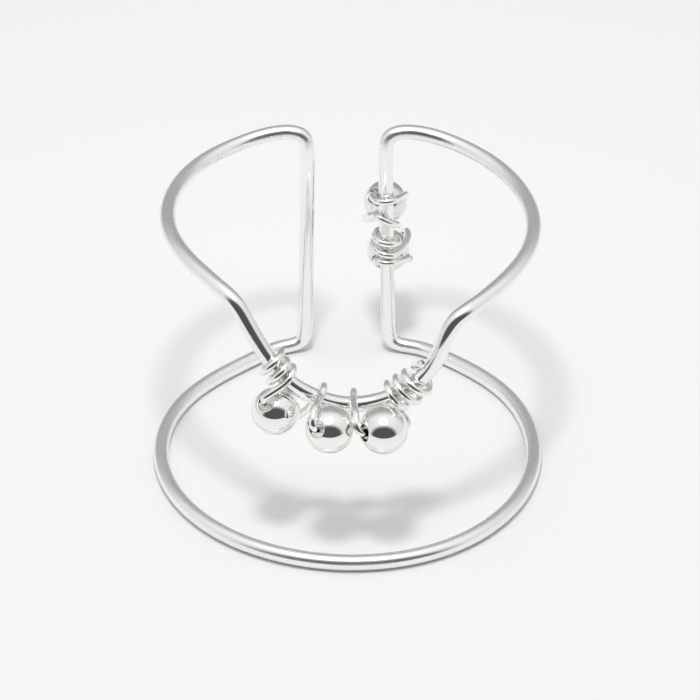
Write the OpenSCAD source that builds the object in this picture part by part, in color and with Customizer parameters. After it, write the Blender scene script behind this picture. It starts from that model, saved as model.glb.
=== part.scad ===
// Nail ring of polished silver wire. One closed loop of round wire makes the finger hoop, the two posts
// and the frame round the nail. Three drilled beads hang in front of the nail bar and two sit behind the
// right post. Each set is strung on a thin binding wire that is wound round the frame wire.
// Origin: centre of the finger hoop, on the plane that the hoop rests on. +Z runs along the finger.

/* [Frame wire] */
// Thickness of the frame wire
wire_d = 0.68; // [0.6:0.01:0.7]
// Inner diameter of the finger hoop
finger_d = 16; // [15.6:0.1:16.4]
// Height of the wire's middle at the top of the posts
frame_top = 11.55; // [11.2:0.05:12]
// Distance between the middles of the two posts at their feet
post_gap = 3.9; // [3.7:0.1:4.1]
// How much closer together the posts stand at their tops
post_lean = 0.4; // [0:0.1:0.6]

/* [Beads] */
// Diameter of a bead
bead_d = 2; // [1.8:0.05:2.05]
// Diameter of the hole drilled through a bead
bore_d = 0.7; // [0.66:0.02:0.8]

/* [Binding wire] */
// Thickness of the thin binding wire
thin_d = 0.32; // [0.28:0.02:0.34]
// Clear gap between pieces that lie on each other
seat_gap = 0.04; // [0.03:0.01:0.05]

/* [Hidden] */

wire_r = wire_d / 2;
thin_r = thin_d / 2;
bead_r = bead_d / 2;
hoop_r = finger_d / 2 + wire_r;
frame_sides = 12;
frame_steps = 5;
thin_sides = 8;
thin_steps = 2;

// Turning angle between neighbouring control points of the hoop, and of a winding
hoop_turn = 30;
coil_turn = 36;
// A spline through control points on a circle runs inside it by this factor
function spline_grow(turn) = 3 / (2 + cos(turn));

// How far the hand-bent hoop strays from its circle, from the front to the right post: X, Y
right_stray = [[0, 0], [0.05, -0.1], [-0.05, 0], [-0.1, 0], [0, 0.3]];
// The same from the left post back to the front
left_stray = [[0.05, 0], [0.1, 0], [0.2, 0.05], [0.05, 0.15]];
// Where the hoop leaves its circle for a post: distance from the middle, Y
right_shoulder = [4.25, 7.7];
left_shoulder = [4.25, 7.35];
// Distance from a post's corner to its neighbouring control points, which sets the bend
bend = 1.3;
// How far the wire next to a post's foot lies in front of it, and next to its top behind it
foot_set = 0.2;
head_set = 0.2;
post_y = 8.5;
foot_x = post_gap / 2;
head_x = foot_x - post_lean / 2;
function post_x(z) = foot_x + (head_x - foot_x) * z / frame_top;

// Control points of the nail frame, from post to bar: distance from the middle, Y, drop below the top
right_frame = [
    [4.6, 8.4, 0.3],
    [6.6, 6.6, 0.5],
    [7.8, 4.0, 0.7],
    [8.05, 1.1, 0.7],
    [7.4, -1.4, 0.9],
    [5.9, -3.6, 1.1],
    [4.9, -4.6, 1.3],
    [4.3, -4.9, 1.6],
    [4.0, -5.1, 2.2],
    [3.65, -5.2, 3.4],
    [2.8, -5.2, 4.55],
    [1.5, -5.1, 5.37],
];
left_frame = [
    [4.6, 8.3, 0.3],
    [6.5, 6.6, 0.4],
    [7.55, 3.9, 0.4],
    [7.7, 1.2, 0.4],
    [7.0, -1.1, 0.5],
    [5.7, -3.0, 0.7],
    [4.9, -3.9, 0.9],
    [4.4, -4.3, 1.2],
    [4.05, -4.6, 1.9],
    [3.2, -5.1, 3.3],
    [2.4, -5.3, 4.35],
    [1.3, -5.3, 5.07],
];
bar_middle = [0, -5.2, 5.57];

function hoop_points(from, stray) = [
    for (i = [0:len(stray) - 1]) let(a = from + i * hoop_turn) [
        hoop_r * spline_grow(hoop_turn) * cos(a) + stray[i][0],
        hoop_r * spline_grow(hoop_turn) * sin(a) + stray[i][1],
        wire_r,
    ]
];

function post_points(side, shoulder) = [
    [side * shoulder[0], shoulder[1], wire_r],
    [side * (foot_x + bend), post_y - foot_set, wire_r],
    [side * foot_x, post_y, wire_r],
    [side * foot_x, post_y, wire_r + bend],
    [side * post_x(frame_top / 2), post_y, frame_top / 2],
    [side * head_x, post_y, frame_top - bend],
    [side * head_x, post_y, frame_top],
    [side * (head_x + bend), post_y + head_set, frame_top],
];

// Control points of one side of the nail frame, 1 for the right and -1 for the left
function side_points(points, side) = [for (p = points) [side * p[0], p[1], frame_top - p[2]]];
function reversed(points) = [for (i = [len(points) - 1:-1:0]) points[i]];

// The whole loop: right half of the hoop, right post, nail frame, left post, left half of the hoop
before_bar = concat(hoop_points(-90, right_stray), post_points(1, right_shoulder), side_points(right_frame, 1));
after_bar = concat(
    reversed(side_points(left_frame, -1)),
    reversed(post_points(-1, left_shoulder)),
    hoop_points(150, left_stray)
);
bar_index = len(before_bar);
loop_points = concat(before_bar, side_points([bar_middle], 1), after_bar);

// Weights of a uniform cubic spline, for the point and for its direction
function spline_weights(t) = [
    pow(1 - t, 3) / 6,
    (3 * pow(t, 3) - 6 * pow(t, 2) + 4) / 6,
    (-3 * pow(t, 3) + 3 * pow(t, 2) + 3 * t + 1) / 6,
    pow(t, 3) / 6,
];
function slope_weights(t) = [
    -pow(1 - t, 2) / 2,
    (3 * pow(t, 2) - 4 * t) / 2,
    (-3 * pow(t, 2) + 2 * t + 1) / 2,
    pow(t, 2) / 2,
];
function loop_four(i) = [for (k = [-1:2]) loop_points[(i + k + len(loop_points)) % len(loop_points)]];
function frame_at(u) = spline_weights(u - floor(u)) * loop_four(floor(u));
function unit(v) = v / norm(v);
function frame_dir(u) = unit(slope_weights(u - floor(u)) * loop_four(floor(u)));

// Point beside the frame wire: angle 0 faces away from the finger, 90 faces up on the front bar
function beside(u, angle, r) = let(
    middle = frame_at(u),
    along = frame_dir(u),
    away = [middle[0], middle[1], 0],
    out = unit(away - (away * along) * along),
    up = cross(along, out)
) middle + r * (cos(angle) * out + sin(angle) * up);

// Open spline that starts and ends on the first and last control point
function strand(points, steps) = let(
    n = len(points),
    ends = concat([2 * points[0] - points[1]], points, [2 * points[n - 1] - points[n - 2]])
) concat(
    [for (i = [1:n - 1], k = [0:steps - 1])
        spline_weights(k / steps) * [for (j = [-1:2]) ends[i + j]]],
    [points[n - 1]]
);

// Quads that join the rings of a tube
function wall_faces(rings, sides, closed) = [
    for (i = [0:rings - (closed ? 1 : 2)], k = [0:sides - 1]) let(
        near = i * sides,
        far = ((i + 1) % rings) * sides,
        next = (k + 1) % sides
    ) [near + k, far + k, far + next, near + next]
];

module closed_tube(rings, sides) {
    polyhedron([for (ring = rings) each ring], wall_faces(len(rings), sides, true), convexity = 10);
}

module open_tube(path, r, sides) {
    n = len(path);
    dirs = [for (i = [0:n - 1]) unit(path[min(i + 1, n - 1)] - path[max(i - 1, 0)])];
    first = unit(cross(dirs[0], abs(dirs[0][2]) < 0.9 ? [0, 0, 1] : [1, 0, 0]));
    // Each ring's first side is the last ring's, turned only as far as the wire bends
    starts = [for (
        i = 0, s = first;
        i < n;
        s = i + 1 < n ? unit(s - (s * dirs[i + 1]) * dirs[i + 1]) : s,
        i = i + 1
    ) s];
    points = [for (i = [0:n - 1]) let(across = cross(dirs[i], starts[i]))
        for (a = [0:360 / sides:359]) path[i] + r * (cos(a) * starts[i] + sin(a) * across)];
    caps = [
        [for (k = [0:sides - 1]) k],
        [for (k = [sides - 1:-1:0]) (n - 1) * sides + k],
    ];
    polyhedron(points, concat(wall_faces(n, sides, false), caps), convexity = 10);
}

module frame_wire() {
    color("silver") closed_tube(
        [for (i = [0:len(loop_points) - 1], k = [0:frame_steps - 1])
            [for (a = [0:360 / frame_sides:359]) beside(i + k / frame_steps, a, wire_r)]],
        frame_sides
    );
}

// Beads: middle, and the direction in which the binding wire comes out of the hole that it went in by
function front_bead(along, angle, gap, hole) =
    [beside(bar_index + along, angle, wire_r + bead_r + gap), unit(hole)];
function back_bead(across, z, hole) =
    [[post_x(z) + across, post_y + wire_r + bead_r + seat_gap, z], unit(hole)];

front_left = front_bead(1.72, -71, 0.05, [-0.4, -0.5, 0.75]);
front_middle = front_bead(0.5, -16, 0.06, [-0.55, -0.65, 0.45]);
front_right = front_bead(-0.9, -14, 0.2, [-0.85, -0.45, 0.15]);
back_upper = back_bead(-0.02, 7.3, [-0.6, -0.5, 0.6]);
back_lower = back_bead(0.08, 4.7, [0.5, 0.85, 0.2]);

module bead(place) {
    color("silver") translate(place[0])
        rotate([0, acos(place[1][2]), atan2(place[1][1], place[1][0])]) difference() {
            sphere(r = bead_r, $fn = 48);
            cylinder(h = 2 * bead_d, r = bore_d / 2, center = true, $fn = 32);
        }
}

coil_r = (wire_r + thin_r + seat_gap) * spline_grow(coil_turn);

// Turns round the frame wire from one place to another, standing off it by spare in the middle
function coil(from, to, start, turns, spare = 0) = let(n = round(turns * 360 / coil_turn)) [
    for (i = [0:n])
        beside(from + (to - from) * i / n, start - i * coil_turn, coil_r + spare * sin(180 * i / n))
];

// Control points that lead the binding wire over a bead: its clear gap, and directions from the bead
function over(place, lead, ways) = [for (way = ways) place[0] + (bead_r + thin_r + lead) * unit(way)];

// Control points that lead it through a bead: straight run before and behind the middle, in bead radii
in_bore = 0.7;
function through(place, coming, leaving) =
    [for (d = [coming, in_bore, 0, -in_bore, -leaving]) place[0] + d * bead_r * place[1]];

// Binding wire from one winding, over and through a front bead, and on to the next winding
// swing: clear gap before and after the bead, straight run, and lift on the way to the hole
function strung(before, place, after, swing) = concat(
    before,
    over(place, swing[0], [unit(before[len(before) - 1] - place[0]) + place[1] + swing[3]]),
    through(place, swing[2], swing[2]),
    over(place, swing[1], [unit(after[0] - place[0]) - place[1]])
);

// Windings on the nail bar: from and to along the frame, angle of the first point, turns, and spare
left_coil = coil(bar_index + 2.91, bar_index + 2.15, 130, 2.33);
left_loop = coil(bar_index + 0.82, bar_index + 0.97, 216, 0.5);
right_loop = coil(bar_index - 0.28, bar_index - 0.12, 228, 0.5);
right_coil = coil(bar_index - 1.17, bar_index - 2.36, 252, 3.3, 0.12);
// The right winding's cut end, laid along the top of the frame wire
right_end = coil(bar_index - 2.5, bar_index - 2.8, 130, 0.1);
front_path = concat(
    strung(left_coil, front_left, left_loop, [0.2, 0.36, 1.3, [0, 0, 0]]),
    strung(left_loop, front_middle, right_loop, [0.26, 0.42, 1.28, [0, -0.2, 0.6]]),
    strung(right_loop, front_right, right_coil, [0.26, 0.2, 1.25, [0, -0.2, 0.6]]),
    right_coil,
    right_end
);

module front_binding_wire() {
    color("silver") open_tube(strand(front_path, thin_steps), thin_r, thin_sides);
}

// Turns round the right post, from one height down to another: angle 0 faces right, 270 faces the bar
function post_coil(high, low, from, to) = let(n = ceil(abs(to - from) / coil_turn)) [
    for (i = [0:n]) let(
        z = high + (low - high) * i / n,
        angle = from + (to - from) * i / n
    ) [post_x(z) + coil_r * cos(angle), post_y + coil_r * sin(angle), z]
];

// Windings on the right post: upper and lower height, first and last angle
upper_turn = post_coil(8.35, 8.25, 320, 205);
middle_turns = concat(post_coil(7.55, 6.4, 215, 450), post_coil(6.35, 5.42, 486, 1045));
lower_turn = post_coil(5.12, 5.08, 205, 315);
// From the cut end on the upper bead's side, across the post, through both beads, to the other end
back_path = concat(
    over(back_upper, 0.1, [[0.75, -0.45, 0.55]]),
    upper_turn,
    through(back_upper, 1.25, 1.3),
    over(back_upper, 0.26, [[0.35, 0.9, -1.1], [-0.5, 0.6, -1]]),
    over(back_upper, 0.16, [[-0.9, 0, -0.7], [-0.72, -0.7, -0.55]]),
    middle_turns,
    over(back_lower, 0.18, [[0.8, -0.35, 0.65], [0.75, 0.35, 0.75]]),
    through(back_lower, 1.42, 1.2),
    lower_turn,
    over(back_lower, 0.12, [[0.75, -0.68, 0.05]])
);

module back_binding_wire() {
    color("silver") open_tube(strand(back_path, thin_steps), thin_r, thin_sides);
}

frame_wire();
front_binding_wire();
bead(front_left);  // front_bead_left
bead(front_middle);  // front_bead_middle
bead(front_right);  // front_bead_right
back_binding_wire();
bead(back_upper);  // back_bead_upper
bead(back_lower);  // back_bead_lower
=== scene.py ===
"""Nail ring of polished silver wire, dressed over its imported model.

The ring is one closed loop of round wire, two thin binding wires and five drilled beads. Each sub-assembly
is a class that holds its sizes in millimetres and builds its own meshes in metres.
"""

import logging
from collections.abc import Sequence
from dataclasses import dataclass, field
from enum import Enum
from itertools import accumulate
from math import asin, cos, floor, pi, radians, sin

import bmesh
import bpy
from mathutils import Matrix, Vector


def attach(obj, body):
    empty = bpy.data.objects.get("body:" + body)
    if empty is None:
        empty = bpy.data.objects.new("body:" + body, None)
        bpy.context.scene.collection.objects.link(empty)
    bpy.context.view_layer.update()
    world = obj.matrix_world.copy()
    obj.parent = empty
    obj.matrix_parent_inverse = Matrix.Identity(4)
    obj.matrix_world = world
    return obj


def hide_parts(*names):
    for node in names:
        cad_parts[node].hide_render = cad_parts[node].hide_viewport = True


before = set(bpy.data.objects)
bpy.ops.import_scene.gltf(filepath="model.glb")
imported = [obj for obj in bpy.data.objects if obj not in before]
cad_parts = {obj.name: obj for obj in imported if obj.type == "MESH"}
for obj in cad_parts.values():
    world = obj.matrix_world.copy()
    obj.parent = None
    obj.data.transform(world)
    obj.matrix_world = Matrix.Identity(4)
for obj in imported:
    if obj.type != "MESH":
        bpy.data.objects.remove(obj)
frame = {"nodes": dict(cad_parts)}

MM = 0.001
BODY = "root"
LOG = logging.getLogger("nail_ring")
Point = tuple[float, float, float]
# Arc of a thin wire over a bead: clear gap to the bead, and directions from the bead's middle
Arc = tuple[float, tuple[Point, ...]]
# Turns round the nail bar: from and to along it, angle of the first point, turns, and how loose they stand
BarTurns = tuple[float, float, float, float, float]
# Turns round a post: first and last height, first and last angle
PostTurns = tuple[float, float, float, float]


class Side(Enum):
    """Side of the ring, seen from the nail bar."""

    LEFT = -1
    RIGHT = 1


class Slot(Enum):
    """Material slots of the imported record."""

    FRAME = "frame_silver"
    BINDING = "binding_silver"
    BEAD = "bead_silver"


# ---- Finishes


class NodeSheet:
    """Small helper that adds and joins the nodes of one tree."""

    def __init__(self, tree: bpy.types.NodeTree) -> None:
        """Empties the node tree of a material, a lamp or a world."""
        self.tree = tree
        tree.nodes.clear()

    def add(self, kind: str, **settings: object) -> bpy.types.Node:
        """Adds a node.

        Args:
            kind: Blender's name for the node type.
            **settings: Properties of the node, or values of its inputs where the name is an input's.

        Returns:
            The new node.
        """
        node = self.tree.nodes.new(kind)
        for name, value in settings.items():
            if hasattr(node, name):
                setattr(node, name, value)
            else:
                node.inputs[name.replace("_", " ")].default_value = value
        return node

    def join(self, source: bpy.types.NodeSocket | float, target: bpy.types.NodeSocket) -> None:
        """Joins an output to an input, or sets the input to a plain number.

        Args:
            source: Output or plain number.
            target: Input that takes it.
        """
        if isinstance(source, bpy.types.NodeSocket):
            self.tree.links.new(source, target)
        else:
            target.default_value = source

    def math(
        self, kind: str, first: bpy.types.NodeSocket | float, second: bpy.types.NodeSocket | float = 0.0
    ) -> bpy.types.NodeSocket:
        """Adds one step of arithmetic.

        Args:
            kind: Blender's name for the operation.
            first: Output or plain number.
            second: Output or plain number.

        Returns:
            Output with the result.
        """
        node = self.add("ShaderNodeMath", operation=kind)
        self.join(first, node.inputs[0])
        self.join(second, node.inputs[1])
        return node.outputs["Value"]

    def mix(
        self,
        share: bpy.types.NodeSocket,
        first: bpy.types.NodeSocket | float,
        second: bpy.types.NodeSocket | float,
    ) -> bpy.types.NodeSocket:
        """Blends from the first value to the second.

        Args:
            share: Output with the share of the second value, from 0 to 1.
            first: Output or plain number.
            second: Output or plain number.

        Returns:
            Output with the blend.
        """
        node = self.add("ShaderNodeMix", data_type="FLOAT")
        for value, target in zip((share, first, second), (node.inputs[0], node.inputs[2], node.inputs[3])):
            self.join(value, target)
        return node.outputs[0]

    def ramp(
        self, source: bpy.types.NodeSocket, start: float, end: float, low: float, high: float
    ) -> bpy.types.NodeSocket:
        """Runs smoothly from one value to another.

        Args:
            source: Output that drives the ramp.
            start: Where the ramp starts.
            end: Where it ends.
            low: Value at and before the start.
            high: Value at and past the end.

        Returns:
            Output with the ramp's value.
        """
        node = self.add("ShaderNodeMapRange", interpolation_type="SMOOTHSTEP")
        for name, value in {"From Min": start, "From Max": end, "To Min": low, "To Max": high}.items():
            node.inputs[name].default_value = value
        self.join(source, node.inputs["Value"])
        return node.outputs["Result"]


@dataclass(frozen=True)
class SilverFinish:
    """Polished silver with a soft hand finish.

    Attributes:
        name: Name of the material.
        tint: Colour of the clean metal.
        dull_tint: Colour where a breath of tarnish lies.
        smooth: Roughness of the best polished places.
        worn: Roughness of the handled places.
        patch: Size of the handled places, in millimetres.
        patch_edge: Noise values where a handled or tarnished place starts and where it is full.
        breath_scale: Scale of the tarnish's noise against that of the handled places.
        most_dull: Share of the dull tint where the tarnish is thickest.
        ripple: Height of the slow unevenness that bending leaves, in millimetres.
        ripple_size: Length of that unevenness, in millimetres.
        drawn_lines: Height of the fine lines along a drawn wire, in millimetres, or 0 for a bead.
        line_scale: Scale of those lines' noise, twice across the wire and once along it.
        satin: Extra roughness of the satin places, or 0 where all is polished.
        satin_below: Heights where the lower satin starts to fade and where it ends, in millimetres.
        satin_above: Heights where the upper satin starts and where it is full, in millimetres.
    """

    name: str
    tint: Point = (0.945, 0.942, 0.93)
    dull_tint: Point = (0.86, 0.85, 0.82)
    smooth: float = 0.06
    worn: float = 0.13
    patch: float = 2.2
    patch_edge: tuple[float, float] = (0.3, 0.7)
    breath_scale: float = 0.45
    most_dull: float = 0.55
    ripple: float = 0.004
    ripple_size: float = 1.6
    drawn_lines: float = 0.0
    line_scale: Point = (7.0, 7.0, 0.35)
    satin: float = 0.0
    satin_below: tuple[float, float] = (1.5, 5.0)
    satin_above: tuple[float, float] = (10.4, 11.1)

    def material(self) -> bpy.types.Material:
        """Builds the material.

        Returns:
            A node material that reads Object coordinates, and the wire's own coordinates for drawn lines.
        """
        made = bpy.data.materials.new(self.name)
        made.use_nodes = True
        sheet = NodeSheet(made.node_tree)
        shader = sheet.add("ShaderNodeBsdfPrincipled", Metallic=1.0)
        output = sheet.add("ShaderNodeOutputMaterial")
        sheet.join(shader.outputs["BSDF"], output.inputs["Surface"])
        place = sheet.add("ShaderNodeTexCoord").outputs["Object"]

        patch = self.patch * MM
        handled = sheet.add("ShaderNodeTexNoise", Scale=1.0 / patch, Detail=4.0, Roughness=0.6)
        sheet.join(place, handled.inputs["Vector"])
        roughness = sheet.ramp(handled.outputs["Fac"], *self.patch_edge, self.smooth, self.worn)
        if self.satin:
            roughness = sheet.math("ADD", roughness, self._satin_share(sheet, place))
        sheet.join(roughness, shader.inputs["Roughness"])

        breath = sheet.add("ShaderNodeTexNoise", Scale=self.breath_scale / patch, Detail=3.0, Roughness=0.5)
        sheet.join(place, breath.inputs["Vector"])
        colour = sheet.add("ShaderNodeMix", data_type="RGBA")
        colour.inputs[6].default_value = (*self.tint, 1.0)
        colour.inputs[7].default_value = (*self.dull_tint, 1.0)
        dull = sheet.ramp(breath.outputs["Fac"], *self.patch_edge, 0.0, self.most_dull)
        sheet.join(dull, colour.inputs[0])
        sheet.join(colour.outputs[2], shader.inputs["Base Color"])

        normal = self._ripples(sheet, place)
        if self.drawn_lines:
            normal = self._lines(sheet, normal)
        sheet.join(normal, shader.inputs["Normal"])
        return made

    def _satin_share(self, sheet: NodeSheet, place: bpy.types.NodeSocket) -> bpy.types.NodeSocket:
        """Works out where the metal is left satin: low on the hoop and high on the nail frame.

        Args:
            sheet: The material's nodes.
            place: Output with the Object coordinates.

        Returns:
            Output with the extra roughness.
        """
        height = sheet.add("ShaderNodeSeparateXYZ")
        sheet.join(place, height.inputs["Vector"])
        low, high = ([edge * MM for edge in edges] for edges in (self.satin_below, self.satin_above))
        return sheet.math(
            "ADD",
            sheet.ramp(height.outputs["Z"], *low, self.satin, 0.0),
            sheet.ramp(height.outputs["Z"], *high, 0.0, self.satin),
        )

    def _ripples(self, sheet: NodeSheet, place: bpy.types.NodeSocket) -> bpy.types.NodeSocket:
        """Adds the slow unevenness of hand bending and polishing.

        Args:
            sheet: The material's nodes.
            place: Output with the Object coordinates.

        Returns:
            Output with the bent normal.
        """
        swell = sheet.add("ShaderNodeTexNoise", Scale=1.0 / (self.ripple_size * MM), Detail=2.0)
        sheet.join(place, swell.inputs["Vector"])
        bump = sheet.add("ShaderNodeBump", Strength=1.0, Distance=self.ripple * MM)
        sheet.join(swell.outputs["Fac"], bump.inputs["Height"])
        return bump.outputs["Normal"]

    def _lines(self, sheet: NodeSheet, normal: bpy.types.NodeSocket) -> bpy.types.NodeSocket:
        """Adds the fine lines that a drawplate leaves along a wire.

        Args:
            sheet: The material's nodes.
            normal: Output with the normal so far.

        Returns:
            Output with the normal that has the lines too.
        """
        along = sheet.add("ShaderNodeAttribute", attribute_name="wire_coords")
        fit = sheet.add("ShaderNodeMapping", vector_type="POINT", Scale=self.line_scale)
        sheet.join(along.outputs["Vector"], fit.inputs["Vector"])
        lines = sheet.add("ShaderNodeTexNoise", Scale=1.0, Detail=5.0, Roughness=0.65)
        sheet.join(fit.outputs["Vector"], lines.inputs["Vector"])
        bump = sheet.add("ShaderNodeBump", Strength=1.0, Distance=self.drawn_lines * MM)
        sheet.join(lines.outputs["Fac"], bump.inputs["Height"])
        sheet.join(normal, bump.inputs["Normal"])
        return bump.outputs["Normal"]


@dataclass(frozen=True)
class PaperFinish:
    """Matt white paper of the studio floor.

    Attributes:
        name: Name of the material.
        shade: How much light the paper throws back.
    """

    name: str = "studio_paper"
    shade: float = 0.86

    def material(self) -> bpy.types.Material:
        """Builds the material.

        Returns:
            A matt material of one shade.
        """
        made = bpy.data.materials.new(self.name)
        made.use_nodes = True
        sheet = NodeSheet(made.node_tree)
        paper = sheet.add("ShaderNodeBsdfDiffuse", Color=(self.shade, self.shade, self.shade, 1.0))
        output = sheet.add("ShaderNodeOutputMaterial")
        sheet.join(paper.outputs["BSDF"], output.inputs["Surface"])
        return made


# ---- Shared mesh work


def spline_point(four: Sequence[Vector], t: float) -> Vector:
    """Point of a uniform cubic spline.

    Args:
        four: The four control points that act on the stretch.
        t: Place along the stretch, from 0 to 1.

    Returns:
        The point.
    """
    return (
        four[0] * (1 - t) ** 3
        + four[1] * (3 * t**3 - 6 * t**2 + 4)
        + four[2] * (-3 * t**3 + 3 * t**2 + 3 * t + 1)
        + four[3] * t**3
    ) / 6


def spline_slope(four: Sequence[Vector], t: float) -> Vector:
    """Direction of a uniform cubic spline.

    Args:
        four: The four control points that act on the stretch.
        t: Place along the stretch, from 0 to 1.

    Returns:
        The direction, of length 1.
    """
    return (
        four[0] * -((1 - t) ** 2)
        + four[1] * (3 * t**2 - 4 * t)
        + four[2] * (-3 * t**2 + 2 * t + 1)
        + four[3] * t**2
    ).normalized()


def spline_grow(turn: float) -> float:
    """How far outside a circle its spline's control points lie.

    Args:
        turn: Angle between neighbouring control points, in degrees.

    Returns:
        The factor on the radius.
    """
    return 3 / (2 + cos(radians(turn)))


def station(place: Vector, out: Vector, along: Vector) -> Matrix:
    """Frame of one ring of a wire.

    Args:
        place: Middle of the ring.
        out: Direction of the ring's first vertex.
        along: Direction of the wire.

    Returns:
        Matrix that puts a flat ring there.
    """
    side = (out - out.dot(along) * along).normalized()
    across = along.cross(side)
    turned = Matrix((side, across, along)).transposed().to_4x4()
    return Matrix.Translation(place) @ turned


def finished(mesh_work: bmesh.types.BMesh, name: str, smooth_to: float) -> bpy.types.Object:
    """Turns a mesh worked out in millimetres into an object in metres.

    Args:
        mesh_work: The mesh, which is freed.
        name: Name of the object.
        smooth_to: Angle up to which edges are shaded smooth, in degrees.

    Returns:
        The object, at the origin with its place in its mesh.
    """
    bmesh.ops.scale(mesh_work, vec=(MM, MM, MM), verts=mesh_work.verts)
    bmesh.ops.recalc_face_normals(mesh_work, faces=mesh_work.faces)
    for face in mesh_work.faces:
        face.smooth = True
    mesh = bpy.data.meshes.new(name)
    mesh_work.to_mesh(mesh)
    mesh_work.free()
    mesh.set_sharp_from_angle(angle=radians(smooth_to))
    made = bpy.data.objects.new(name, mesh)
    bpy.context.scene.collection.objects.link(made)
    return made


@dataclass
class RoundWire:
    """Round wire swept along a row of ring frames.

    Attributes:
        name: Name of the piece.
        radius: Radius of the wire.
        sides: Number of sides of its section.
        end_round: Radius of the rounding at a cut end.
        smooth_to: Angle up to which edges are shaded smooth, in degrees.
    """

    name: str
    radius: float
    sides: int
    end_round: float = 0.04
    smooth_to: float = 50

    def sweep(self, stations: Sequence[Matrix], closed: bool) -> bpy.types.Object:
        """Bends a straight rod with one ring per unit of height to the stations.

        Args:
            stations: Frames of the rings, in order along the wire.
            closed: Whether the last ring joins the first.

        Returns:
            The wire as an object.
        """
        last = len(stations) - 1
        work = bmesh.new()
        bmesh.ops.create_cone(
            work,
            cap_ends=not closed,
            cap_tris=False,
            segments=self.sides,
            radius1=self.radius,
            radius2=self.radius,
            depth=last,
            matrix=Matrix.Translation((0, 0, last / 2)),
        )
        long_edges = [edge for edge in work.edges if edge.calc_length() > last / 2]
        bmesh.ops.subdivide_edges(work, edges=long_edges, cuts=last - 1, use_grid_fill=True)
        steps = [(b.translation - a.translation).length for a, b in zip(stations, stations[1:])]
        lengths = [0.0, *accumulate(steps)]
        coords = work.verts.layers.float_vector.new("wire_coords")
        for vert in work.verts:
            ring = round(vert.co.z)
            flat = Vector((vert.co.x, vert.co.y, 0.0))
            vert[coords] = (flat.x / self.radius, flat.y / self.radius, lengths[ring])
            vert.co = stations[ring] @ flat
        if closed:
            bmesh.ops.bridge_loops(work, edges=[edge for edge in work.edges if edge.is_boundary])
        else:
            # The wall is all quads, so a face with more corners is a cut end
            ends = [face for face in work.faces if len(face.verts) > 4]
            bmesh.ops.bevel(
                work,
                geom=[edge for face in ends for edge in face.edges],
                offset=self.end_round,
                affect="EDGES",
                segments=3,
                profile=0.5,
                material=-1,
            )
        return finished(work, self.name, self.smooth_to)


def dress(piece: bpy.types.Object, node: str, finish: bpy.types.Material) -> None:
    """Gives a piece its finish and puts it in a node's place on the ring.

    Args:
        piece: The new piece.
        node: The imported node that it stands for.
        finish: Its material.
    """
    piece.data.materials.append(finish)
    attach(piece, BODY)
    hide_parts(node)
    LOG.info("%s: %d faces", piece.name, len(piece.data.polygons))


# ---- The frame wire


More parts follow.
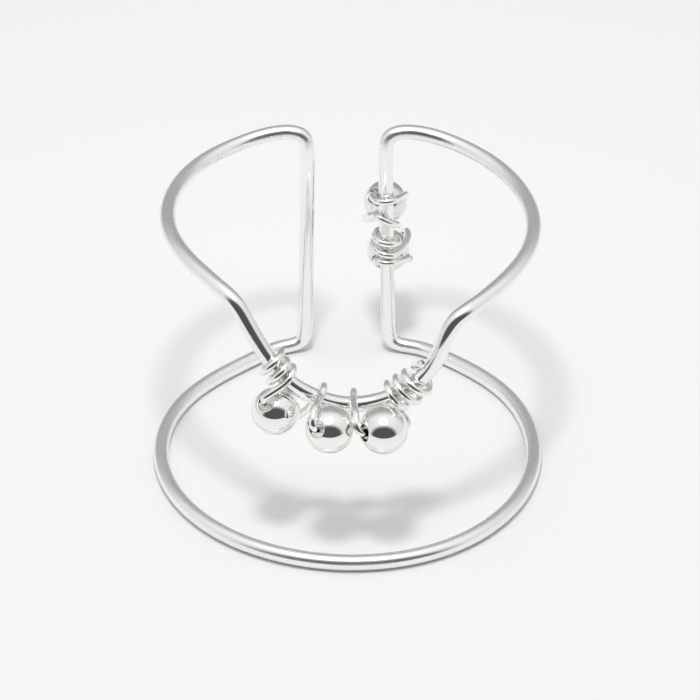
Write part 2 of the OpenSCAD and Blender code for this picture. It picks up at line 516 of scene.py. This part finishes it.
@dataclass
class FrameWire:
    """The closed loop of wire: finger hoop, two posts and the frame round the nail.

    Attributes:
        wire: Diameter of the wire.
        finger: Inner diameter of the hoop.
        top: Height of the wire's middle at the top of the posts.
        post_gap: Distance between the posts' feet.
        post_lean: How much closer together the posts stand at their tops.
        post_y: How far back the posts stand.
        bend: Distance from a post's corner to its neighbouring control points.
        right_stray: How far the hand-bent hoop strays from its circle, from the front to the right
            post: X and Y.
        left_stray: The same from the left post back to the front.
        right_shoulder: Where the hoop leaves its circle on the right: distance from the middle, and Y.
        left_shoulder: The same on the left.
        foot_set: How far the wire next to a post's foot lies in front of it.
        head_set: How far the wire next to a post's top lies behind it.
        hoop_turn: Angle between neighbouring control points of the hoop.
        right_frame: Right side of the nail frame: distance from the middle, Y, drop below the top.
        left_frame: Left side of the nail frame, in the same way.
        bar_middle: Middle of the nail bar, in the same way.
        sides: Number of sides of the wire's section.
        rings_per_stretch: Rings between two control points.
        seam: Place along the loop where the mesh starts and ends.
        points: Control points of the loop, worked out from the sizes.
        bar: Place of the nail bar's middle among them.
    """

    wire: float = 0.68
    finger: float = 16.0
    top: float = 11.55
    post_gap: float = 3.9
    post_lean: float = 0.4
    post_y: float = 8.5
    bend: float = 1.3
    right_stray: tuple[tuple[float, float], ...] = ((0, 0), (0.05, -0.1), (-0.05, 0), (-0.1, 0), (0, 0.3))
    left_stray: tuple[tuple[float, float], ...] = ((0.05, 0), (0.1, 0), (0.2, 0.05), (0.05, 0.15))
    right_shoulder: tuple[float, float] = (4.25, 7.7)
    left_shoulder: tuple[float, float] = (4.25, 7.35)
    foot_set: float = 0.2
    head_set: float = 0.2
    hoop_turn: int = 30
    right_frame: tuple[Point, ...] = (
        (4.6, 8.4, 0.3),
        (6.6, 6.6, 0.5),
        (7.8, 4.0, 0.7),
        (8.05, 1.1, 0.7),
        (7.4, -1.4, 0.9),
        (5.9, -3.6, 1.1),
        (4.9, -4.6, 1.3),
        (4.3, -4.9, 1.6),
        (4.0, -5.1, 2.2),
        (3.65, -5.2, 3.4),
        (2.8, -5.2, 4.55),
        (1.5, -5.1, 5.37),
    )
    left_frame: tuple[Point, ...] = (
        (4.6, 8.3, 0.3),
        (6.5, 6.6, 0.4),
        (7.55, 3.9, 0.4),
        (7.7, 1.2, 0.4),
        (7.0, -1.1, 0.5),
        (5.7, -3.0, 0.7),
        (4.9, -3.9, 0.9),
        (4.4, -4.3, 1.2),
        (4.05, -4.6, 1.9),
        (3.2, -5.1, 3.3),
        (2.4, -5.3, 4.35),
        (1.3, -5.3, 5.07),
    )
    bar_middle: Point = (0.0, -5.2, 5.57)
    sides: int = 28
    rings_per_stretch: int = 22
    seam: float = 6.5
    points: list[Vector] = field(init=False)
    bar: int = field(init=False)

    def __post_init__(self) -> None:
        """Works out the loop's control points and the bar's place among them."""
        before = (
            self._hoop(-90, self.right_stray)
            + self._post(Side.RIGHT, self.right_shoulder)
            + self._frame(self.right_frame, Side.RIGHT)
        )
        after = (
            self._frame(self.left_frame, Side.LEFT)[::-1]
            + self._post(Side.LEFT, self.left_shoulder)[::-1]
            + self._hoop(150, self.left_stray)
        )
        self.bar = len(before)
        self.points = before + self._frame((self.bar_middle,), Side.RIGHT) + after

    @property
    def radius(self) -> float:
        """Radius of the wire."""
        return self.wire / 2

    def post_x(self, height: float) -> float:
        """Distance of a post from the middle plane at a height."""
        return self.post_gap / 2 - self.post_lean / 2 * height / self.top

    def _hoop(self, first: int, strays: Sequence[tuple[float, float]]) -> list[Vector]:
        """Control points of a part of the hoop.

        Args:
            first: Angle of the first point, in degrees. 0 faces right and -90 faces the bar.
            strays: How far each point lies off the circle: X and Y.

        Returns:
            The control points.
        """
        reach = (self.finger / 2 + self.radius) * spline_grow(self.hoop_turn)
        points = []
        for i, (x, y) in enumerate(strays):
            turn = radians(first + i * self.hoop_turn)
            points.append(Vector((reach * cos(turn) + x, reach * sin(turn) + y, self.radius)))
        return points

    def _post(self, side: Side, shoulder: tuple[float, float]) -> list[Vector]:
        """Control points of a post, from the hoop's shoulder to the nail frame.

        Args:
            side: Side of the ring that the post stands on.
            shoulder: Where the hoop leaves its circle: distance from the middle, and Y.

        Returns:
            The control points.
        """
        foot, head = self.post_x(0), self.post_x(self.top)
        rows = (
            (shoulder[0], shoulder[1], self.radius),
            (foot + self.bend, self.post_y - self.foot_set, self.radius),
            (foot, self.post_y, self.radius),
            (foot, self.post_y, self.radius + self.bend),
            (self.post_x(self.top / 2), self.post_y, self.top / 2),
            (head, self.post_y, self.top - self.bend),
            (head, self.post_y, self.top),
            (head + self.bend, self.post_y + self.head_set, self.top),
        )
        return [Vector((side.value * x, y, z)) for x, y, z in rows]

    def _frame(self, rows: Sequence[Point], side: Side) -> list[Vector]:
        """Control points of one side of the nail frame."""
        return [Vector((side.value * x, y, self.top - drop)) for x, y, drop in rows]

    def _four(self, u: float) -> tuple[list[Vector], float]:
        """The control points that act at a place, and the place between them."""
        whole = floor(u)
        return [self.points[(whole + k) % len(self.points)] for k in (-1, 0, 1, 2)], u - whole

    def at(self, u: float) -> Vector:
        """Middle of the wire at a place along the loop."""
        return spline_point(*self._four(u))

    def along(self, u: float) -> Vector:
        """Direction of the wire at a place along the loop."""
        return spline_slope(*self._four(u))

    def out(self, u: float) -> Vector:
        """Direction away from the finger, square to the wire.

        Args:
            u: Place along the loop.

        Returns:
            The direction, of length 1.
        """
        place, along = self.at(u), self.along(u)
        away = Vector((place.x, place.y, 0.0))
        return (away - away.dot(along) * along).normalized()

    def beside(self, u: float, angle: float, reach: float) -> Vector:
        """Point beside the wire.

        Args:
            u: Place along the loop.
            angle: Angle round the wire, in degrees. 0 faces away from the finger, 90 up on the bar.
            reach: Distance from the middle of the wire.

        Returns:
            The point.
        """
        out = self.out(u)
        up = self.along(u).cross(out)
        return self.at(u) + reach * (cos(radians(angle)) * out + sin(radians(angle)) * up)

    def build(self, finish: bpy.types.Material) -> None:
        """Builds and dresses the loop.

        Args:
            finish: Material of the wire.
        """
        count = len(self.points) * self.rings_per_stretch
        places = [self.seam + i / self.rings_per_stretch for i in range(count)]
        stations = [station(self.at(u), self.out(u), self.along(u)) for u in places]
        loop = RoundWire("silver_frame_wire", self.radius, self.sides).sweep(stations, closed=True)
        dress(loop, "frame_wire", finish)


# ---- Beads


@dataclass
class Bead:
    """A round bead with a drilled hole.

    Attributes:
        node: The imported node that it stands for.
        middle: Middle of the bead.
        hole: Direction from the middle to the mouth of the hole that the binding wire goes in by.
        bead: Diameter of the bead.
        bore: Diameter of the hole.
        lip: Width of the rounding round the hole's mouths.
        lip_steps: Number of faces across that rounding.
        steps: Number of faces round the bead.
        bore_rings: Number of rings between the ends of the hole's wall.
        rim_from: Angle from which an edge counts as a rim of the hole, in degrees.
        merge: Distance under which two vertices become one.
        smooth_to: Angle up to which edges are shaded smooth, in degrees.
    """

    node: str
    middle: Vector
    hole: Vector
    bead: float = 2.0
    bore: float = 0.7
    lip: float = 0.06
    lip_steps: int = 4
    steps: int = 72
    bore_rings: int = 8
    rim_from: float = 40
    merge: float = 0.0005
    smooth_to: float = 60

    @property
    def radius(self) -> float:
        """Radius of the bead."""
        return self.bead / 2

    def build(self, finish: bpy.types.Material) -> None:
        """Spins the drilled ball, turns it to its hole's direction and dresses it.

        Args:
            finish: Material of the bead.
        """
        work = bmesh.new()
        mouth = asin(self.bore / self.bead)
        rim = work.verts.new((self.radius * sin(mouth), 0.0, self.radius * cos(mouth)))
        arc = bmesh.ops.spin(
            work,
            geom=[rim],
            cent=(0, 0, 0),
            axis=(0, 1, 0),
            angle=pi - 2 * mouth,
            steps=self.steps // 2,
            use_merge=False,
        )["geom_last"]
        far_rim = next(item for item in arc if isinstance(item, bmesh.types.BMVert))
        wall = work.edges.new((rim, far_rim))
        bmesh.ops.subdivide_edges(work, edges=[wall], cuts=self.bore_rings)
        bmesh.ops.spin(
            work,
            geom=list(work.verts) + list(work.edges),
            cent=(0, 0, 0),
            axis=(0, 0, 1),
            angle=2 * pi,
            steps=self.steps,
            use_merge=True,
        )
        bmesh.ops.remove_doubles(work, verts=work.verts, dist=self.merge)
        bmesh.ops.recalc_face_normals(work, faces=work.faces)
        rims = [
            edge
            for edge in work.edges
            if len(edge.link_faces) == 2 and edge.calc_face_angle() > radians(self.rim_from)
        ]
        bmesh.ops.bevel(
            work,
            geom=rims,
            offset=self.lip,
            affect="EDGES",
            segments=self.lip_steps,
            profile=0.5,
            material=-1,
        )
        turn = Vector((0, 0, 1)).rotation_difference(self.hole).to_matrix().to_4x4()
        bmesh.ops.transform(work, matrix=Matrix.Translation(self.middle) @ turn, verts=work.verts)
        ball = finished(work, "silver_" + self.node, self.smooth_to)
        dress(ball, self.node, finish)


# ---- Binding wires


@dataclass
class Stringing:
    """Shared work of the two sets of beads strung on a thin wire.

    Attributes:
        frame: The frame wire that the thin wire is wound on.
        thin: Diameter of the thin wire.
        gap: Clear gap between pieces that lie on each other.
        coil_turn: Angle between neighbouring control points of a winding.
        in_bore: Place of the control points inside a bead, in bead radii.
        sides: Number of sides of its section.
        rings_per_stretch: Rings between two control points.
    """

    frame: FrameWire
    thin: float = 0.32
    gap: float = 0.04
    coil_turn: int = 36
    in_bore: float = 0.7
    sides: int = 18
    rings_per_stretch: int = 9

    @property
    def coil_reach(self) -> float:
        """Distance of a winding's control points from the middle of the frame wire."""
        return (self.frame.radius + self.thin / 2 + self.gap) * spline_grow(self.coil_turn)

    def over(self, bead: Bead, lead: float, ways: Sequence[Sequence[float]]) -> list[Vector]:
        """Control points that lead the wire over a bead.

        Args:
            bead: The bead.
            lead: Clear gap between the bead and the wire.
            ways: Directions from the middle of the bead.

        Returns:
            The control points.
        """
        reach = bead.radius + self.thin / 2 + lead
        return [bead.middle + reach * Vector(way).normalized() for way in ways]

    def through(self, bead: Bead, coming: float, leaving: float) -> list[Vector]:
        """Control points that lead the wire through a bead.

        Args:
            bead: The bead.
            coming: How far before the middle the wire runs straight, in bead radii.
            leaving: How far behind the middle it runs straight.

        Returns:
            The control points.
        """
        stops = (coming, self.in_bore, 0.0, -self.in_bore, -leaving)
        return [bead.middle + stop * bead.radius * bead.hole for stop in stops]

    def thread(self, node: str, path: list[Vector], finish: bpy.types.Material) -> None:
        """Builds and dresses a thin wire along its control points.

        Args:
            node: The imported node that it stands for.
            path: Control points from one cut end to the other.
            finish: Its material.
        """
        ends = [2 * path[0] - path[1], *path, 2 * path[-1] - path[-2]]
        places, ways = [], []
        for i in range(len(path) - 1):
            for k in range(self.rings_per_stretch):
                places.append(spline_point(ends[i : i + 4], k / self.rings_per_stretch))
                ways.append(spline_slope(ends[i : i + 4], k / self.rings_per_stretch))
        places.append(path[-1])
        ways.append((path[-1] - path[-2]).normalized())
        # Each ring's first direction is carried on to the next, so that the wire doesn't twist
        out = ways[0].orthogonal().normalized()
        stations = []
        for place, way in zip(places, ways):
            out = (out - out.dot(way) * way).normalized()
            stations.append(station(place, out, way))
        wire = RoundWire("silver_" + node, self.thin / 2, self.sides).sweep(stations, closed=False)
        dress(wire, node, finish)


@dataclass
class FrontStringing(Stringing):
    """Three beads in front of the nail bar on one thin wire, wound on the bar at both ends.

    Attributes:
        beads: Place along the bar, angle round it, clear gap to it, and hole direction of each bead.
            Places count control points from the bar's middle to the left.
        swings: Clear gap before and after each bead, straight run out of its hole in bead radii, and
            how the wire is lifted on its way to the hole.
        left_coil: Winding at the left end.
        left_loop: Loop between the left and the middle bead.
        right_loop: Loop between the middle and the right bead.
        right_coil: Winding at the right end.
        right_end: Its cut end, laid along the top of the frame wire.
    """

    beads: dict[str, tuple[float, float, float, Point]] = field(
        default_factory=lambda: {
            "front_bead_left": (1.72, -71, 0.05, (-0.4, -0.5, 0.75)),
            "front_bead_middle": (0.5, -16, 0.06, (-0.55, -0.65, 0.45)),
            "front_bead_right": (-0.9, -14, 0.2, (-0.85, -0.45, 0.15)),
        }
    )
    swings: tuple[tuple[float, float, float, Point], ...] = (
        (0.2, 0.36, 1.3, (0.0, 0.0, 0.0)),
        (0.26, 0.42, 1.28, (0.0, -0.2, 0.6)),
        (0.26, 0.2, 1.25, (0.0, -0.2, 0.6)),
    )
    left_coil: BarTurns = (2.91, 2.15, 130, 2.33, 0)
    left_loop: BarTurns = (0.82, 0.97, 216, 0.5, 0)
    right_loop: BarTurns = (-0.28, -0.12, 228, 0.5, 0)
    right_coil: BarTurns = (-1.17, -2.36, 252, 3.3, 0.12)
    right_end: BarTurns = (-2.5, -2.8, 130, 0.1, 0)

    def coil(self, first: float, last: float, start: float, turns: float, spare: float) -> list[Vector]:
        """Control points of turns round the bar.

        Args:
            first: Place along the bar where the turns start.
            last: Place where they end.
            start: Angle of the first point.
            turns: Number of turns.
            spare: How far they stand off the bar half way along.

        Returns:
            The control points.
        """
        count = round(turns * 360 / self.coil_turn)
        return [
            self.frame.beside(
                self.frame.bar + first + (last - first) * i / count,
                start - i * self.coil_turn,
                self.coil_reach + spare * sin(pi * i / count),
            )
            for i in range(count + 1)
        ]

    def build(self, wire_finish: bpy.types.Material, bead_finish: bpy.types.Material) -> None:
        """Builds the three beads and the wire that they hang on.

        Args:
            wire_finish: Material of the wire.
            bead_finish: Material of the beads.
        """
        reach = self.frame.radius + Bead.bead / 2
        balls = [
            Bead(
                node,
                self.frame.beside(self.frame.bar + along, angle, reach + gap),
                Vector(hole).normalized(),
            )
            for node, (along, angle, gap, hole) in self.beads.items()
        ]
        rows = (self.left_coil, self.left_loop, self.right_loop, self.right_coil)
        coils = [self.coil(*row) for row in rows]
        path = list(coils[0])
        for ball, after, (lead_in, lead_out, run, lift) in zip(balls, coils[1:], self.swings):
            coming = (path[-1] - ball.middle).normalized() + ball.hole + Vector(lift)
            leaving = (after[0] - ball.middle).normalized() - ball.hole
            path += self.over(ball, lead_in, [coming]) + self.through(ball, run, run)
            path += self.over(ball, lead_out, [leaving]) + after
        path += self.coil(*self.right_end)
        self.thread("front_binding_wire", path, wire_finish)
        for ball in balls:
            ball.build(bead_finish)


@dataclass
class BackStringing(Stringing):
    """Two beads behind the right post on one thin wire, wound on the post.

    Attributes:
        beads: Distance to the right of the post, height, and hole direction of each bead.
        first_end: The wire's first cut end, beside the upper bead.
        upper_turn: Turn just above the upper bead.
        upper_run: Straight run into the upper bead's hole and out of it, in bead radii.
        under_upper: Arc from the hole to the upper bead's underside.
        beside_upper: Arc from there to the post.
        middle_turns: Turns between the beads.
        beside_lower: Arc from the post to the lower bead's hole.
        lower_run: Straight run into the lower bead's hole and out of it, in bead radii.
        lower_turn: Turn at the height of the lower bead.
        last_end: The wire's last cut end, beside the lower bead.
    """

    beads: dict[str, tuple[float, float, Point]] = field(
        default_factory=lambda: {
            "back_bead_upper": (-0.02, 7.3, (-0.6, -0.5, 0.6)),
            "back_bead_lower": (0.08, 4.7, (0.5, 0.85, 0.2)),
        }
    )
    first_end: Arc = (0.1, ((0.75, -0.45, 0.55),))
    upper_turn: PostTurns = (8.35, 8.25, 320, 205)
    upper_run: tuple[float, float] = (1.25, 1.3)
    under_upper: Arc = (0.26, ((0.35, 0.9, -1.1), (-0.5, 0.6, -1.0)))
    beside_upper: Arc = (0.16, ((-0.9, 0.0, -0.7), (-0.72, -0.7, -0.55)))
    middle_turns: tuple[PostTurns, ...] = ((7.55, 6.4, 215, 450), (6.35, 5.42, 486, 1045))
    beside_lower: Arc = (0.18, ((0.8, -0.35, 0.65), (0.75, 0.35, 0.75)))
    lower_run: tuple[float, float] = (1.42, 1.2)
    lower_turn: PostTurns = (5.12, 5.08, 205, 315)
    last_end: Arc = (0.12, ((0.75, -0.68, 0.05),))

    def post_coil(self, high: float, low: float, first: float, last: float) -> list[Vector]:
        """Control points of turns round the right post, from one height down to another.

        Args:
            high: Height of the first point.
            low: Height of the last point.
            first: Angle of the first point. 0 faces right and 270 faces the bar.
            last: Angle of the last point.

        Returns:
            The control points.
        """
        count = -int(-abs(last - first) // self.coil_turn)
        points = []
        for i in range(count + 1):
            height = high + (low - high) * i / count
            angle = radians(first + (last - first) * i / count)
            points.append(
                Vector(
                    (
                        self.frame.post_x(height) + self.coil_reach * cos(angle),
                        self.frame.post_y + self.coil_reach * sin(angle),
                        height,
                    )
                )
            )
        return points

    def build(self, wire_finish: bpy.types.Material, bead_finish: bpy.types.Material) -> None:
        """Builds the two beads and the wire that holds them to the post.

        Args:
            wire_finish: Material of the wire.
            bead_finish: Material of the beads.
        """
        back = self.frame.post_y + self.frame.radius + Bead.bead / 2 + self.gap
        upper, lower = (
            Bead(
                node,
                Vector((self.frame.post_x(height) + across, back, height)),
                Vector(hole).normalized(),
            )
            for node, (across, height, hole) in self.beads.items()
        )
        path = [
            *self.over(upper, *self.first_end),
            *self.post_coil(*self.upper_turn),
            *self.through(upper, *self.upper_run),
            *self.over(upper, *self.under_upper),
            *self.over(upper, *self.beside_upper),
            *(point for row in self.middle_turns for point in self.post_coil(*row)),
            *self.over(lower, *self.beside_lower),
            *self.through(lower, *self.lower_run),
            *self.post_coil(*self.lower_turn),
            *self.over(lower, *self.last_end),
        ]
        self.thread("back_binding_wire", path, wire_finish)
        upper.build(bead_finish)
        lower.build(bead_finish)


# ---- Studio


@dataclass
class Studio:
    """Pale floor, white light tent with an open front, one small lamp above, and the camera.

    Attributes:
        reach: Distance of the camera from the middle of the hoop.
        tilt: Height of the camera above the horizon, in degrees.
        aim: Point that the camera looks at.
        lens: Focal length.
        sensor: Width of the camera's sensor.
        clip: Nearest distance that the camera sees.
        lamp_place: Place of the lamp.
        lamp_size: Diameter of the lamp.
        lamp_power: Strength of the lamp.
        lamp_aim: Point on the floor that the lamp faces, so that the floor is lit evenly.
        wall: Brightness of the tent's sides.
        roof: Brightness of the tent's top.
        roof_edge: How far a direction points up where the sides end and where the top is full.
        back_wall: Brightness of the tent's back.
        back_edge: How far a direction points to the back where the back starts and where it is full.
        halo: Extra brightness of the tent's cloth round the lamp.
        halo_edge: How closely a direction points to the lamp where the halo starts and where it is full.
        opening: Brightness of what shows through the tent's open front.
        opening_width: Half width of the opening, as a slope from straight ahead.
        opening_height: Height of the opening, in the same way.
        opening_edge: Share of the way out where the cloth starts and where it is full.
        least_ahead: Smallest part of a direction that counts as pointing ahead, so that the slopes
            are never divided by 0.
        backdrop: Brightness of what the camera sees beyond the floor.
        floor_reach: Distance from the middle to the edge of the floor at the sides and the back.
        floor_front: Distance from the middle to the edge of the floor in front.
        bounces: How often light is followed from piece to piece.
    """

    reach: float = 100.0
    tilt: float = 35.13
    aim: Point = (0.14, 2.63, 3.74)
    lens: float = 115.65
    sensor: float = 36.0
    clip: float = 5.0
    lamp_place: Point = (-3.6, -22.3, 86.1)
    lamp_size: float = 14.0
    lamp_power: float = 3.6
    lamp_aim: Point = (0.0, 35.0, 0.0)
    wall: float = 1.0
    roof: float = 1.15
    roof_edge: tuple[float, float] = (0.35, 0.9)
    back_wall: float = 0.5
    back_edge: tuple[float, float] = (0.2, 0.8)
    halo: float = 1.2
    halo_edge: tuple[float, float] = (0.91, 1.0)
    opening: float = 0.11
    opening_width: float = 1.95
    opening_height: float = 1.45
    opening_edge: tuple[float, float] = (0.55, 1.15)
    least_ahead: float = 0.001
    backdrop: float = 0.93
    floor_reach: float = 3000.0
    floor_front: float = 55.0
    bounces: int = 7

    def build(self, paper: bpy.types.Material) -> None:
        """Sets up the whole studio.

        Args:
            paper: Material of the floor.
        """
        self._camera()
        self._lamp()
        self._floor(paper)
        self._tent()
        scene = bpy.context.scene
        scene.view_settings.view_transform = "Standard"
        scene.cycles.max_bounces = self.bounces
        scene.cycles.glossy_bounces = self.bounces

    def _camera(self) -> None:
        """Places the camera at the photograph's viewing angle."""
        data = bpy.data.cameras.new("camera")
        data.lens = self.lens
        data.sensor_width = self.sensor
        data.clip_start = self.clip * MM
        camera = bpy.data.objects.new("camera", data)
        low = radians(self.tilt)
        camera.location = Vector((0.0, -self.reach * cos(low), self.reach * sin(low))) * MM
        look = Vector(self.aim) * MM - camera.location
        camera.rotation_euler = look.to_track_quat("-Z", "Y").to_euler()
        bpy.context.scene.collection.objects.link(camera)
        bpy.context.scene.camera = camera

    def _lamp(self) -> None:
        """Hangs the small lamp that throws the soft shadows."""
        data = bpy.data.lights.new("lamp", "AREA")
        data.shape = "DISK"
        data.size = self.lamp_size * MM
        data.energy = self.lamp_power
        data.use_nodes = True
        sheet = NodeSheet(data.node_tree)
        even = sheet.add("ShaderNodeLightFalloff", Strength=1.0)
        glow = sheet.add("ShaderNodeEmission")
        output = sheet.add("ShaderNodeOutputLight")
        sheet.join(even.outputs["Constant"], glow.inputs["Strength"])
        sheet.join(glow.outputs["Emission"], output.inputs["Surface"])
        lamp = bpy.data.objects.new("lamp", data)
        lamp.location = Vector(self.lamp_place) * MM
        face = Vector(self.lamp_aim) * MM - lamp.location
        lamp.rotation_euler = face.to_track_quat("-Z", "Y").to_euler()
        bpy.context.scene.collection.objects.link(lamp)

    def _floor(self, paper: bpy.types.Material) -> None:
        """Lays the floor at the height that the hoop rests on.

        Args:
            paper: Material of the floor.
        """
        work = bmesh.new()
        bmesh.ops.create_grid(work, x_segments=1, y_segments=1, size=self.floor_reach)
        for vert in work.verts:
            vert.co.y = max(vert.co.y, -self.floor_front)
        floor_sheet = finished(work, "studio_floor", smooth_to=30)
        floor_sheet.data.materials.append(paper)

    def _tent(self) -> None:
        """Wraps the scene in the tent: white sides and top, greyer back, dark open front."""
        world = bpy.data.worlds.new("light_tent")
        bpy.context.scene.world = world
        world.use_nodes = True
        sheet = NodeSheet(world.node_tree)
        way = sheet.add("ShaderNodeTexCoord").outputs["Generated"]
        parts = sheet.add("ShaderNodeSeparateXYZ")
        sheet.join(way, parts.inputs["Vector"])

        # How far out of the opening's ellipse a direction points, 1 on its edge
        ahead = sheet.math("MAXIMUM", sheet.math("MULTIPLY", parts.outputs["Y"], -1.0), self.least_ahead)
        squares = []
        for axis, width in (("X", self.opening_width), ("Z", self.opening_height)):
            slope = sheet.math("DIVIDE", sheet.math("DIVIDE", parts.outputs[axis], ahead), width)
            squares.append(sheet.math("POWER", sheet.math("ABSOLUTE", slope), 2.0))
        way_out = sheet.math("SQRT", sheet.math("ADD", *squares))
        toward_lamp = sheet.add("ShaderNodeVectorMath", operation="DOT_PRODUCT")
        toward_lamp.inputs[1].default_value = Vector(self.lamp_place).normalized()
        sheet.join(way, toward_lamp.inputs[0])

        cloth = sheet.ramp(parts.outputs["Z"], *self.roof_edge, self.wall, self.roof)
        behind = sheet.ramp(parts.outputs["Y"], *self.back_edge, 0.0, 1.0)
        cloth = sheet.mix(behind, cloth, self.back_wall)
        outside = sheet.ramp(way_out, *self.opening_edge, 0.0, 1.0)
        cloth = sheet.mix(outside, self.opening, cloth)
        halo = sheet.ramp(toward_lamp.outputs["Value"], *self.halo_edge, 0.0, self.halo)
        cloth = sheet.math("ADD", cloth, halo)

        camera_ray = sheet.add("ShaderNodeLightPath").outputs["Is Camera Ray"]
        light = sheet.add("ShaderNodeBackground")
        sheet.join(sheet.mix(camera_ray, cloth, self.backdrop), light.inputs["Strength"])
        output = sheet.add("ShaderNodeOutputWorld")
        sheet.join(light.outputs["Background"], output.inputs["Surface"])


# ---- Making


def main() -> None:
    """Builds the ring's pieces in order, then the studio."""
    logging.basicConfig(level=logging.INFO, format="%(name)s: %(message)s")
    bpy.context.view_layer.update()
    LOG.info("packed nodes to dress: %d", len(frame["nodes"]))
    frame_silver = SilverFinish("polished_frame_silver", drawn_lines=0.0012, satin=0.18).material()
    thin_silver = SilverFinish(
        "polished_thin_silver", smooth=0.05, worn=0.11, ripple=0.002, ripple_size=0.9, drawn_lines=0.0012
    ).material()
    bead_silver = SilverFinish(
        "mirror_bead_silver", smooth=0.04, worn=0.09, patch=1.1, ripple=0.0012
    ).material()
    # Silver of the two beads behind the post: its darker tints are painted shade for beads that sit in the
    # post's shade, and it is rougher than the front beads' silver
    painted_shade_bead_silver = SilverFinish(
        "painted_shade_bead_silver",
        tint=(0.88, 0.875, 0.86),
        dull_tint=(0.74, 0.73, 0.7),
        smooth=0.06,
        worn=0.2,
        patch=0.7,
        ripple=0.002,
    ).material()
    loop = FrameWire()
    loop.build(frame_silver)
    FrontStringing(loop).build(thin_silver, bead_silver)
    BackStringing(loop).build(thin_silver, painted_shade_bead_silver)
    Studio().build(PaperFinish().material())


if __name__ == "__main__":
    main()
